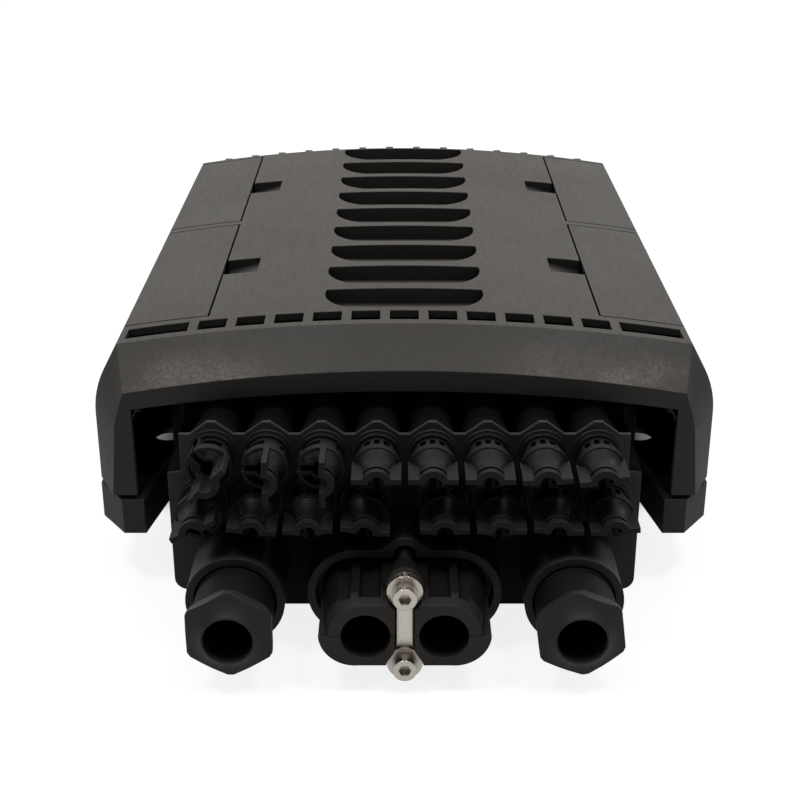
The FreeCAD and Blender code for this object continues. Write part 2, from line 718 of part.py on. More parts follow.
def cover_knuckles():
    """Two hinge knuckles behind the far wall."""
    body = new_body("knuckles_of_cover")
    half = s.knuckle_width / 2
    y, z, r = s.hinge_y, s.hinge_z, s.knuckle_radius
    outline = [(s.far_y - 1, z - r / 2), (y, z - r), (y + r, z, r), (y, z + r, r),
               (s.far_y - 1, z + r * 1.6)]
    for name, middle in (("right", s.knuckle_x), ("left", -s.knuckle_x)):
        across_x(body, f"cover_knuckle_{name}", outline, middle - half, middle + half)
    return body


def hinge_bore(owner):
    """The line that the hinge pins run along."""
    reach = s.knuckle_x + s.knuckle_width * 2
    return rod(f"hinge_bore_{owner}", (-reach, s.hinge_y, s.hinge_z), reach * 2,
               s.hinge_pin_radius + s.thread_play, AXIS_ALONG_X)


# Latches


def latch(end):
    """A right-hand latch: a flush panel, a barrel on its pin and a claw arm below."""
    near, far = latch_spans()[end]
    near, far = near + s.latch_gap, far - s.latch_gap
    gap, thick = s.latch_gap, s.latch_thick
    inner = s.latch_inner + gap
    body = new_body(f"latch_{end}")
    round_in = s.shoulder_radius - thick
    edge = s.crown_top - s.crown_drop
    panel = [(s.side_half, s.pivot_z), (s.side_half, s.shoulder_z),
             (s.slope_half, s.slope_z, s.shoulder_radius),
             (s.plate_half, edge), (inner, crown_at(inner), crown_radius()), (inner,
                                                                              crown_at(inner, thick)),
             (s.plate_half - thick * 0.8, edge - thick), (s.slope_half - thick, s.slope_z - thick * 0.5),
             (s.side_half - thick, s.shoulder_z, -round_in), (s.side_half - thick, s.pivot_z)]
    along_y(body, f"panel_{end}", [panel], far, near)
    discs_along_y(body, f"barrel_{end}", [(s.pivot_x, s.pivot_z, s.barrel_radius)], far, near)
    middle = (near + far) / 2
    arm_front, arm_back = middle - s.claw_width / 2, middle + s.claw_width / 2
    rim_inner = s.side_half - s.rim_wall - s.rim_lip
    arm_out = rim_inner - s.clearance
    arm_in = arm_out - thick
    nose_top = s.rim_z - s.rim_lip_thick - s.clearance
    along_y(body, f"claw_{end}",
            [[(arm_in, s.pivot_z), (arm_in, s.claw_z), (arm_out, s.claw_z),
              (rim_inner + s.claw_bite, nose_top - 0.8),
              (rim_inner + s.claw_bite, nose_top), (arm_out, nose_top), (arm_out, s.pivot_z)]],
            arm_back, arm_front)
    rib_half = thick / 2
    for i, place in enumerate((arm_front + rib_half, middle, arm_back - rib_half)):
        along_y(body, f"rib_{end}_{i + 1}",
                [[(s.pivot_x, s.pivot_z), (s.side_half - thick / 2, s.shoulder_z),
                  (s.slope_half - thick / 2, s.slope_z - thick / 2),
                  (s.plate_half - thick, edge - thick / 2), (s.tub_half + 2,
                                                             crown_at(s.tub_half + 2, thick / 2)),
                  (arm_in, s.pivot_z)]], place + rib_half, place - rib_half)
    discs_along_y(body, f"bore_{end}", [(s.pivot_x, s.pivot_z, s.latch_pin_radius + s.thread_play)],
                  far + 1, near - 1, cut=True)
    return body


def latches():
    for end in ("front", "back"):
        right = latch(end)
        left = doc.addObject("Part::Mirroring", f"latch_left_{end}")
        left.Source = right
        left.Normal = FreeCAD.Vector(1, 0, 0)
        piece(right, f"latch_right_{end}")
        piece(left, f"latch_left_{end}")
    pins = []
    for side in (1, -1):
        for end, (near, far) in latch_spans().items():
            inset = s.latch_strip / 2 - s.latch_gap / 2
            pins.append(rod_y(f"latch_pin_{end}", s.pivot_x * side, s.pivot_z, near - inset, far + inset,
                              s.latch_pin_radius))
    piece(group("latch_pin_set", pins), "latch_pins")


# Base


def rim_outline(inset):
    """The base's outer rim in X and Y: feet with slanted cheeks at the front, clipped corners at the back."""
    front = s.visor_front_y + inset
    foot_out, foot_in = s.foot_front_half - inset, s.leg_inner - s.foot_lap + inset
    side, back = s.side_half - inset, s.rim_back_y - inset
    cheek = s.foot_chamfer_y + inset / 2
    clip = s.side_half - s.foot_front_half
    root_x, root_y = s.tub_half - s.tub_wall + inset, s.tub_front_y + s.tub_radius
    right = [(root_x, root_y), (foot_in, front), (foot_out, front), (side, cheek), (side, back - clip),
             (side - clip, back)]
    return right + [(-x, y) for x, y in reversed(right)]


def base():
    core = new_body("base_core")
    tub = rounded(-s.tub_half, s.tub_half, s.tub_front_y, s.tub_back_y, s.tub_radius)
    along_z(core, "tub", [tub], 0, s.seal_z)
    along_z(core, "rim", [rim_outline(size(0))], s.channel_z, s.rim_z)
    along_z(core, "channel", [rim_outline(s.rim_wall), tub], s.channel_z + s.rim_wall, s.rim_z + 1,
            cut=True)
    along_y(core, "port_block", [block_outline()], s.tub_front_y + s.tub_radius, s.port_plate_y)
    along_y(core, "port_comb", [comb_outline()], s.port_plate_y + s.comb_thick, s.port_plate_y)
    solid = fuse("base_solid", core, port_tubes(), wall_lugs(), latch_catches(), base_knuckles())
    voids = fuse("base_voids", base_hollow(), oval_mouth(), port_bores(), wall_holes(), hinge_bore("base"))
    return piece(cut("base_moulding", solid, voids), "base_housing")


def block_outline():
    """The port block in X and Z, stepped up beside the round tubes, with round outer corners."""
    half, radius, step = s.block_half, s.block_radius, s.block_step_half
    low, high = s.block_low, s.block_shoulder
    return [(step, low), (step, high), (half - radius, high), (half, high + radius, radius),
            (half, s.block_top), (-half, s.block_top), (-half, high + radius),
            (-half + radius, high, radius), (-step, high), (-step, low)]


def comb_outline():
    """The wall above the ports in X and Z: its pleated top edge has a peak over each port."""
    valley_half, peak_half = s.comb_flat / 2, s.comb_flat * 0.35
    edge = s.drop_pitch * (GLANDS_IN_ROW / 2)
    foot = s.block_top - s.comb_wall
    outline = [(edge + valley_half, foot), (edge + valley_half, s.comb_valley)]
    for i in range(GLANDS_IN_ROW):
        right = edge - s.drop_pitch * i
        middle, left = right - s.drop_pitch / 2, right - s.drop_pitch
        outline += [(right - valley_half, s.comb_valley), (middle + peak_half, s.comb_peak),
                    (middle - peak_half, s.comb_peak), (left + valley_half, s.comb_valley)]
    return outline + [(-edge - valley_half, s.comb_valley), (-edge - valley_half, foot)]


def base_hollow():
    """The sealed inside: the tub and the port block behind its plate."""
    body = new_body("hollow")
    wall = s.tub_wall
    tub = rounded(-s.tub_half + wall, s.tub_half - wall, s.tub_front_y + wall, s.tub_back_y - wall,
                  s.tub_radius - wall)
    along_z(body, "tub_hollow", [tub], wall, s.seal_z + 1)
    along_y(body, "block_hollow", [block_inside()], s.tub_front_y + s.tub_radius + 1,
            s.port_plate_y + s.port_plate)
    return body


def block_inside():
    wall = s.tub_wall
    half, step = s.block_half - wall, s.block_step_half - wall
    low, high = s.block_low + wall, s.block_shoulder + wall
    right = [(step, low), (step, high), (half, high), (half, s.block_top - wall)]
    return right + [(-x, z) for x, z in reversed(right)]


def gland_places():
    """Each drop gland's number, X, seat Y, Z and turn, the top row first, left to right."""
    places = []
    for row, (seat, height) in enumerate(((s.row1_y, s.row1_z), (s.row2_y, s.row2_z))):
        for i in range(GLANDS_IN_ROW):
            steps = i - (GLANDS_IN_ROW - 1) / 2
            x = s.drop_pitch * steps
            if row == 1:
                x = x + s.row_spread if steps > 0 else x - s.row_spread
            places.append((row * GLANDS_IN_ROW + i + 1, x, seat, height, ROW_TURNS[row][i]))
    return places


def row_places(row):
    return gland_places()[row * GLANDS_IN_ROW:(row + 1) * GLANDS_IN_ROW]


def port_tubes():
    """Sockets for the drop glands, two round tubes and the oval tube, arched over its upper screw."""
    body = new_body("tubes")
    back = s.port_plate_y + 1
    barrel_back = s.row1_y + s.spigot_length + s.comb_wall
    for row, seat, behind in ((0, s.row1_y, barrel_back), (1, s.row2_y, back)):
        discs_along_y(body, f"sockets_{row + 1}",
                      [(x, z, s.socket_radius) for _, x, _, z, _ in row_places(row)],
                      behind, seat)
    discs_along_y(body, "drop_tubes", [(x, z, s.drop_tube) for _, x, _, z, _ in row_places(0)],
                  s.tub_front_y + 1, barrel_back - 1)
    discs_along_y(body, "round_tubes", [(s.entry_x * side, s.entry_z, s.tube_radius) for side in (-1, 1)],
                  back, s.tube_front_y)
    along_y(body, "oval_tube", [stadium(size(0), s.entry_z, s.oval_half, s.oval_half_height)], back,
            s.oval_front_y)
    screw_z, shoulder = s.clamp_z + s.screw_offset, s.entry_z + s.oval_half_height
    discs_along_y(body, "arch", [(0, screw_z, s.arch_radius)], back, s.oval_front_y)
    slope_x, slope_z = s.arch_radius * HALF_ROOT_2, screw_z + s.arch_radius * HALF_ROOT_2
    along_y(body, "arch_flanks", [[(s.arch_half, shoulder - 1), (s.arch_half, shoulder), (slope_x, slope_z),
                                   (-slope_x, slope_z), (-s.arch_half, shoulder),
                                   (-s.arch_half, shoulder - 1)]], back, s.oval_front_y)
    return body


def oval_mouth():
    """The oval tube's inside, less the two lugs that take the clamp screws."""
    body = new_body("mouth")
    wall = s.oval_wall
    inner = stadium(size(0), s.entry_z, s.oval_half - wall, s.oval_half_height - wall)
    along_y(body, "oval_inside", [inner], s.port_plate_y, s.oval_front_y - 1)
    discs_along_y(body, "arch_inside", [(0, s.clamp_z + s.screw_offset, s.arch_radius - wall)],
                  s.clamp_lug_y, s.oval_front_y - 1)
    half, edge = s.clamp_lug, s.oval_half_height
    low, high = s.clamp_z - s.screw_offset, s.clamp_z + s.screw_offset
    along_y(body, "clamp_lugs", [rectangle(-half, half, s.entry_z - edge, low + half),
                                 rectangle(-half, half, high - half, s.entry_z + edge)],
            s.port_plate_y + 1, s.clamp_lug_y, cut=True)
    return body


def port_bores():
    """Holes for the drop spigots, the round cables, the oval port's cables and the clamp screws."""
    body = new_body("bores")
    plate_back = s.port_plate_y + s.port_plate + 1
    sides = (-1, 1)
    tub_inside = s.tub_front_y + s.tub_wall + 1
    for row, seat, inside in ((0, s.row1_y, tub_inside), (1, s.row2_y, plate_back)):
        places = [(x, z) for _, x, _, z, _ in row_places(row)]
        discs_along_y(body, f"socket_bores_{row + 1}",
                      [(x, z, s.spigot_radius + s.clearance) for x, z in places],
                      seat + s.spigot_length + 1, seat - 1)
        discs_along_y(body, f"drop_ways_{row + 1}",
                      [(x, z, s.spigot_radius - s.gland_wall) for x, z in places],
                      inside, seat)
    discs_along_y(body, "tube_bores", [(s.entry_x * side, s.entry_z, s.tube_bore) for side in sides],
                  s.port_plate_y - 2, s.tube_front_y - 1)
    discs_along_y(body, "cable_ways", [(s.entry_x * side, s.entry_z, s.cable_bore + 1) for side in sides],
                  plate_back, s.tube_front_y)
    discs_along_y(body, "oval_ways",
                  [(s.oval_bore_x * side, s.entry_z, s.cable_bore + 1) for side in sides],
                  plate_back, s.clamp_lug_y)
    discs_along_y(body, "screw_holes",
                  [(0, s.clamp_z + s.screw_offset * side, s.screw_radius + s.thread_play)
                   for side in sides],
                  s.clamp_lug_y + 12, s.oval_front_y - 1)
    return body


def lug_rows():
    return (-s.lug_half_y, s.lug_half_y)


def wall_lugs():
    """Four wall lugs low on the sides."""
    body = new_body("lugs")
    half = s.lug_width / 2
    outlines = []
    for y in lug_rows():
        outlines += both_sides([(s.tub_half - 1, y - half), (s.lug_half_x, y - half),
                                (s.lug_half_x + half, y, half),
                                (s.lug_half_x, y + half, half), (s.tub_half - 1, y + half)])
    along_z(body, "wall_lug_row", outlines, 0, s.lug_thick)
    return body


def wall_holes():
    """Screw holes through the lugs and driver holes through the channel above them."""
    body = new_body("lug_ways")
    for name, low, high, radius in (("screw", size(-1), s.lug_thick + 1, s.lug_hole / 2),
                                    ("driver", s.channel_z - 1, s.channel_z + s.rim_wall + 1,
                                     s.driver_hole / 2)):
        sketch = sketch_on(body, f"{name}_way_outline", "XY_Plane", low)
        for y in lug_rows():
            for side in (-1, 1):
                circle(sketch, s.lug_half_x * side, y, radius)
        grow(body, f"{name}_way", sketch, high - low)
    return body


def latch_catches():
    """Lips inside the rim that the latch claws reach under."""
    body = new_body("catches")
    inner = s.side_half - s.rim_wall - s.rim_lip
    outlines = []
    for near, far in latch_spans().values():
        middle = (near + far) / 2
        half = s.claw_width / 2 + 4
        outlines += both_sides(rectangle(inner, s.side_half - 1, middle - half, middle + half))
    along_z(body, "catch_lips", outlines, s.rim_z - s.rim_lip_thick, s.rim_z)
    return body


def base_knuckles():
    """Pairs of hinge knuckles on the far rim, either side of the cover's."""
    body = new_body("knuckles_of_base")
    y, z, r = s.hinge_y, s.hinge_z, s.knuckle_radius
    low = s.rim_z - 4
    gap = s.knuckle_width / 2 + s.clearance
    width = s.knuckle_width / 2
    outline = [(s.rim_back_y - s.rim_wall, low), (s.rim_back_y, low), (y + r, z - 2), (y + r, z),
               (y, z + r, r),
               (y - r, z, r), (s.rim_back_y - s.rim_wall, s.rim_z)]
    for side in (-1, 1):
        for name, start in (("inner", -gap - width), ("outer", gap)):
            middle = s.knuckle_x * side
            across_x(body, f"base_knuckle_{name}_{side + 2}", outline, middle + start,
                     middle + start + width)
    return body


def seals_and_pins():
    ring = new_body("gasket_ring")
    wall = s.tub_wall
    outer = rounded(-s.tub_half, s.tub_half, s.tub_front_y, s.tub_back_y, s.tub_radius)
    inner = rounded(-s.tub_half + wall, s.tub_half - wall, s.tub_front_y + wall, s.tub_back_y - wall,
                    s.tub_radius - wall)
    along_z(ring, "gasket", [outer, inner], s.seal_z, s.seal_z + s.gasket_thick)
    piece(ring, "cover_gasket")
    reach = s.knuckle_width + s.clearance
    pins = [rod(f"hinge_pin_{i}", (s.knuckle_x * side - reach, s.hinge_y, s.hinge_z), reach * 2,
                s.hinge_pin_radius, AXIS_ALONG_X)
            for i, side in enumerate((-1, 1))]
    piece(group("hinge_pin_set", pins), "hinge_pins")


# Drop glands


def drop_gland():
    """One twist gland about the Y axis, its seat at the origin and its nose towards the viewer."""
    body = new_body("gland_pattern")
    r, wall, collar, end = s.gland_radius, s.gland_wall, s.gland_collar, s.gland_length
    bore, nose = s.drop_bore, s.nose_radius
    neck = r - wall
    ring = size(2.0)
    turned(body, "gland_barrel",
           [(s.spigot_length, 0), (s.spigot_length, s.spigot_radius), (0, s.spigot_radius), (0, r),
            (-ring, r), (-ring, neck), (-collar + ring * 1.5, neck), (-collar + ring * 1.5, r),
            (-collar, r), (-collar, 0)])
    shoulder = collar + (end - collar) * 0.4
    turned(body, "gland_dome",
           [(-collar + 1, 0), (-collar + 1, r - wall / 2), (-collar, r - wall / 2),
            (-shoulder, nose, -(r * 1.6)), (-end + ring * 2, nose), (-end + ring * 2, nose - 0.8),
            (-end + ring, nose - 0.8), (-end + ring, nose), (-end, nose), (-end, 0)], angle=180)
    low, high = s.wing_rise - s.wing_thick / 2, s.wing_rise + s.wing_thick / 2
    along_y(body, "gland_wings", [rectangle(-s.wing_half, s.wing_half, low, high)], -collar + 1, -end)
    tube = bore + wall
    turned(body, "gland_hollow", [(-collar - 1, -tube), (-ring - 1, -tube), (-ring - 1, -(r - wall)),
                                  (-collar - 1, -(r - wall))],
           angle=174, cut=True)
    lips = s.slit / 2 + wall
    along_y(body, "slit_walls", [rectangle(-lips, lips, -(r - wall / 2), -bore)], -ring, -collar)
    discs_along_y(body, "gland_bore", [(0, 0, bore)], s.spigot_length + 1, -end - 1, cut=True)
    slit = s.slit / 2
    along_y(body, "gland_slit", [rectangle(-slit, slit, -(r + 3), 0)], s.spigot_length + 1, -end - 1,
            cut=True)
    window = neck * 0.3
    along_z(body, "neck_window",
            [rectangle(place - window / 2, place + window / 2, -collar + ring * 2, -ring - 0.5)
             for place in (-neck * 0.5, size(0), neck * 0.5)], neck * 0.55, r + 2, cut=True)
    return body


def drop_glands():
    pattern = drop_gland()
    doc.recompute()
    for number, x, seat, z, turn in gland_places():
        label = f"drop_gland_{number:02d}"
        copy = doc.addObject("Part::Feature", label)
        copy.Shape = pattern.Shape
        rotation = FreeCAD.Rotation(FreeCAD.Vector(0, 1, 0), turn)
        copy.Placement = FreeCAD.Placement(FreeCAD.Vector(x.value, seat.value, z.value), rotation)
        bind(copy, Placement__Base__x=x, Placement__Base__y=seat, Placement__Base__z=z)
        piece(copy, label)
    seals = []
    for number, x, seat, z, _ in gland_places():
        behind = seat + s.spigot_length + s.clearance
        outer = s.spigot_radius + s.clearance
        disc = rod_y(f"drop_seal_disc_{number:02d}", x, z, behind, seat + s.spigot_length + 1, outer)
        eye = rod_y(f"drop_seal_eye_{number:02d}", x, z, behind - 1, seat + s.spigot_length + 2,
                    s.drop_bore - s.clearance)
        seals.append(cut(f"drop_seal_{number:02d}", disc, eye))
    piece(group("drop_seal_set", seals), "drop_seals")


# Round glands


def gland_nut():
    """A cap nut about the Y axis through the origin: a ringed collar and a rounded hexagon."""
    body = new_body("nut_pattern")
    front = s.nut_front_y
    hex_back = front + s.nut_hex
    back = s.tube_front_y + s.nut_reach
    r = s.nut_collar
    groove = size(0.5)
    ring = size(1.4)
    mouth = s.tube_front_y
    turned(body, "nut_collar_turning",
           [(back, 0), (back, r), (mouth + ring, r), (mouth + ring, r - groove), (mouth, r - groove),
            (mouth, r), (mouth - ring, r), (mouth - ring, r - groove), (mouth - ring * 2, r - groove),
            (mouth - ring * 2, r), (hex_back - 0.5, r), (hex_back - 0.5, 0)])
    flat = s.nut_across / 2
    corner = flat / HALF_ROOT_3
    along_y(body, "nut_hexagon",
            [[(0, -corner), (flat, -corner / 2), (flat, corner / 2), (0, corner), (-flat, corner / 2),
              (-flat, -corner / 2)]],
            hex_back, front)
    dome = corner + 1
    rim, edge = s.cable_bore + 0.6, corner - 0.6
    turned(body, "nut_crowning",
           [(front - 1, rim), (front, rim), (front + s.nut_dome, edge, s.nut_collar), (hex_back - 1.5, edge),
            (hex_back + 1, corner - 2.0), (hex_back + 1, dome), (front - 1, dome)], cut=True)
    discs_along_y(body, "nut_bore", [(0, 0, s.cable_bore)], back + 1, front - 1, cut=True)
    return body


def round_glands():
    pattern = gland_nut()
    doc.recompute()
    for side, sign in (("left", -1), ("right", 1)):
        x = s.entry_x * sign
        copy = doc.addObject("Part::Feature", f"gland_nut_{side}")
        copy.Shape = pattern.Shape
        rotation = FreeCAD.Rotation(FreeCAD.Vector(0, 1, 0), NUT_TURNS[side])
        copy.Placement = FreeCAD.Placement(FreeCAD.Vector(x.value, 0, s.entry_z.value), rotation)
        bind(copy, Placement__Base__x=x, Placement__Base__z=s.entry_z)
        piece(copy, f"gland_nut_{side}")
        nut_back = s.tube_front_y + s.nut_reach
        washer_back = nut_back + s.clearance + s.washer_thick
        outer = s.tube_bore - s.clearance
        ring = rod_y(f"slip_ring_{side}", x, s.entry_z, nut_back + s.clearance, washer_back, outer)
        hole = rod_y(f"slip_hole_{side}", x, s.entry_z, nut_back - 1, washer_back + 1, s.cable_bore)
        piece(cut(f"slip_washer_{side}", ring, hole), f"gland_washer_{side}")
        seat = s.port_plate_y - 2
        bush = rod_y(f"bush_{side}", x, s.entry_z, washer_back, seat, outer)
        way = rod_y(f"bush_way_{side}", x, s.entry_z, washer_back - 1, seat + 1, s.cable_bore)
        piece(cut(f"gland_bush_{side}", bush, way), f"gland_seal_{side}")


# Oval port


def insert_outline(half, upper):
    """Half of the insert's front outline in X and Z, from its split line."""
    sign = 1 if upper else -1
    split = s.entry_z + s.split_gap / 2 * sign
    reach = s.insert_high if upper else s.insert_low
    far = s.entry_z + reach * sign
    rise = reach - s.split_gap / 2
    run = rise if upper else s.insert_corner
    curve = (rise + run) / 2
    half = half * sign
    turn = run * sign
    return [(half, split), (half - turn, far, curve), (-half + turn, far), (-half, split, curve)]


def insert_half(name, upper):
    """Half of the split insert: the upper one has cored pockets and the screw's boss."""
    body = new_body(name)
    back, front = s.insert_back_y, s.insert_front_y
    if upper:
        rear = loop(sketch_on(body, f"{name}_rear", "XZ_Plane", -back), insert_outline(s.insert_half, True))
        face = loop(sketch_on(body, f"{name}_face", "XZ_Plane", -front),
                    insert_outline(s.insert_front_half, True))
        loft(body, f"{name}_block", rear, face)
    else:
        along_y(body, f"{name}_block", [insert_outline(s.insert_half, False)], back, front)
    discs_along_y(body, f"{name}_bores",
                  [(s.oval_bore_x * side, s.entry_z, s.cable_bore) for side in (-1, 1)],
                  back + 1, front - 1, cut=True)
    if upper:
        insert_pockets(body, name)
        insert_boss(body, name)
    dog_bone(body, f"{name}_recess", s.link_play, s.link_seat_y, front - 1, cut=True)
    screw_z = s.clamp_z + s.screw_offset * (1 if upper else -1)
    discs_along_y(body, f"{name}_screw_way", [(0, screw_z, s.screw_radius + s.clearance)], back + 1,
                  front - 1, cut=True)
    return piece(body, name)


def insert_pockets(body, name):
    """Two cored pockets above each cable bore, with a rib between them."""
    rib = s.tub_wall
    low, high = s.entry_z + s.cable_bore + 1.6, s.entry_z + s.insert_high + 4
    inner, outer = s.clamp_boss + rib / 2, s.insert_front_half - rib
    pockets = both_sides(rectangle(inner, s.insert_rib_x - rib / 2, low, high))
    pockets += both_sides(rectangle(s.insert_rib_x + rib / 2, outer, low, high))
    along_y(body, f"{name}_pockets", pockets, s.insert_back_y - rib, s.insert_front_y + rib * 2, cut=True)


def insert_boss(body, name):
    """A cone that carries the upper screw's washer."""
    screw_z = s.clamp_z + s.screw_offset
    root_sketch = circle(sketch_on(body, f"{name}_boss_root", "XZ_Plane", -s.boss_back_y), 0, screw_z,
                         s.boss_root)
    seat_sketch = circle(sketch_on(body, f"{name}_boss_seat", "XZ_Plane", -s.link_seat_y), 0, screw_z,
                         s.clamp_boss)
    loft(body, f"{name}_boss", root_sketch, seat_sketch)


def oval_port():
    insert_half("oval_insert_upper", True)
    insert_half("oval_insert_lower", False)
    seal = new_body("oval_bush")
    gap = s.clearance
    inner = s.oval_wall + gap
    along_y(seal, "oval_bush_block", [stadium(size(0), s.entry_z, s.oval_half - inner,
                                              s.oval_half_height - inner)],
            s.port_plate_y, s.insert_back_y)
    keep = s.clamp_lug + gap
    low, high = s.clamp_z - s.screw_offset, s.clamp_z + s.screw_offset
    edge = s.oval_half_height
    along_y(seal, "oval_bush_lug_ways",
            [rectangle(-keep, keep, s.entry_z - edge, low + keep),
             rectangle(-keep, keep, high - keep, s.entry_z + edge)],
            s.port_plate_y + 1, s.insert_back_y - 1, cut=True)
    discs_along_y(seal, "oval_bush_bores",
                  [(s.oval_bore_x * side, s.entry_z, s.cable_bore) for side in (-1, 1)],
                  s.port_plate_y + 1, s.insert_back_y - 1, cut=True)
    piece(seal, "oval_seal")
    clamp_link()
    clamp_fasteners()


def dog_bone(body, name, play, back, front, cut=False):
    """Two eyes joined by a straight waist, wider all round by a play."""
    eye, half = s.link_eye + play, s.link_waist / 2 + play
    low, high = s.clamp_z - s.screw_offset, s.clamp_z + s.screw_offset
    flare, run = eye * 0.75, eye * 0.66
    discs_along_y(body, f"{name}_eye_low", [(0, low, eye)], back, front, cut)
    discs_along_y(body, f"{name}_eye_high", [(0, high, eye)], back, front, cut)
    right = [(flare, low + run), (half, low + run * 1.6), (half, high - run * 1.6), (flare, high - run)]
    along_y(body, f"{name}_waist", [right + [(-x, z) for x, z in reversed(right)]], back, front, cut)


def clamp_link():
    """The dog-bone plate that holds the insert, let into its front."""
    body = new_body("dog_bone_plate")
    back, front = s.link_seat_y, s.link_seat_y - s.link_thick
    dog_bone(body, "link", size(0), back, front)
    discs_along_y(body, "link_holes",
                  [(0, s.clamp_z + s.screw_offset * side, s.screw_radius + s.clearance) for side in (-1, 1)],
                  back + 1, front - 1, cut=True)
    piece(body, "clamp_link")


def clamp_fasteners():
    """Two cap screws with hexagon sockets, and a washer under each head."""
    screws, washers = [], []
    link_front = s.link_seat_y - s.link_thick
    under_head = link_front - s.washer_thick
    for i, side in enumerate((-1, 1)):
        z = s.clamp_z + s.screw_offset * side
        shank = rod_y(f"clamp_shank_{i}", 0, z, under_head, s.clamp_lug_y + 10, s.screw_radius)
        head = rod_y(f"clamp_head_{i}", 0, z, under_head - s.head_height, under_head, s.head_radius)
        socket = doc.addObject("Part::Prism", f"clamp_socket_{i}")
        socket.Polygon = 6
        socket.Placement = FreeCAD.Placement(FreeCAD.Vector(0, 0, 0), AXIS_ALONG_Y)
        bind(socket, Circumradius=s.head_key / 2 / HALF_ROOT_3, Height=s.head_height / 2 + 1,
             Placement__Base__y=under_head - s.head_height - 1, Placement__Base__z=z)
        screws.append(cut(f"clamp_screw_{i}", fuse(f"clamp_blank_{i}", shank, head), socket))
        disc = rod_y(f"clamp_washer_disc_{i}", 0, z, under_head, link_front, s.washer_radius)
        hole = rod_y(f"clamp_washer_hole_{i}", 0, z, under_head - 1, link_front + 1,
                     s.screw_radius + s.clearance)
        washers.append(cut(f"clamp_washer_{i}", disc, hole))
    piece(group("clamp_screw_set", screws), "clamp_screws")
    piece(group("clamp_washer_set", washers), "clamp_washers")


# Inside


def adapter_places():
    """X and Z of each fibre adapter, in two rows behind the drop ports."""
    rows = (s.tub_wall + s.panel_height * 0.3, s.tub_wall + s.panel_height * 0.72)
    return [(s.drop_pitch * (i - (GLANDS_IN_ROW - 1) / 2), z) for z in rows for i in range(GLANDS_IN_ROW)]


def adapter_panel():
    body = new_body("bracket")
    half = s.tub_half - s.tub_wall - 3
    y, thick, floor = s.panel_y, s.panel_thick, s.tub_wall
    across = [(y, floor), (y + 16, floor), (y + 16, floor + thick), (y + thick, floor + thick),
              (y + thick, floor + s.panel_height), (y, floor + s.panel_height)]
    across_x(body, "bracket_plate", across, -half, half)
    sketch = sketch_on(body, "adapter_holes_outline", "XZ_Plane", -(y + thick + 1))
    w, h = s.adapter_width / 2 + s.clearance, s.adapter_height / 2 + s.clearance
    for x, z in adapter_places():
        loop(sketch, rectangle(x - w, x + w, z - h, z + h))
    sink(body, "adapter_holes", sketch, thick + 2, backwards=True)
    screw = sketch_on(body, "bracket_screw_outline", "XY_Plane", floor - 1)
    for side in (-1, 1):
        circle(screw, (half - 8) * side, y + 10, s.latch_pin_radius + s.clearance)
    sink(body, "bracket_screw_holes", screw, thick + 2, backwards=True)
    piece(body, "adapter_panel")
    screws = []
    for i, side in enumerate((-1, 1)):
        x = (half - 8) * side
        shank = rod(f"bracket_screw_shank_{i}", (x, y + 10, floor), thick, s.latch_pin_radius,
                    FreeCAD.Rotation())
        head = rod(f"bracket_screw_head_{i}", (x, y + 10, floor + thick), 2.2, s.latch_pin_radius * 2,
                   FreeCAD.Rotation())
        screws.append(fuse(f"bracket_screw_{i}", shank, head))
    piece(group("bracket_screw_set", screws), "panel_screws")


def fibre_adapters():
    adapters = []
    y, thick = s.panel_y, s.panel_thick
    w, h, length = s.adapter_width / 2, s.adapter_height / 2, s.adapter_length
    for i, (x, z) in enumerate(adapter_places()):
        sleeve = block(f"adapter_sleeve_{i}", (x - w, x + w), (y - length / 2, y + length / 2),
                       (z - h, z + h))
        flange = block(f"adapter_flange_{i}", (x - w - 2, x + w + 2), (y - s.adapter_flange, y),
                       (z - h - 1, z + h + 1))
        bores = [block(f"adapter_mouth_{i}_{j}", (x - w + 1, x + w - 1), (a, b), (z - h + 1.2, z + h - 1.2))
                 for j, (a, b) in enumerate(((y - length / 2 - 1, y - 3), (y + thick + 3,
                                                                           y + length / 2 + 1)))]
        adapters.append(cut(f"adapter_{i}", fuse(f"adapter_blank_{i}", sleeve, flange), *bores))
    piece(group("adapter_set", adapters), "fibre_adapters")


def tray_posts():
    """X and Y of the four posts that carry the splice tray."""
    inset = s.post_inset
    return [(x, y) for x in (-s.tray_half + inset, s.tray_half - inset)
            for y in (s.tray_near_y + inset, s.tray_far_y - inset)]


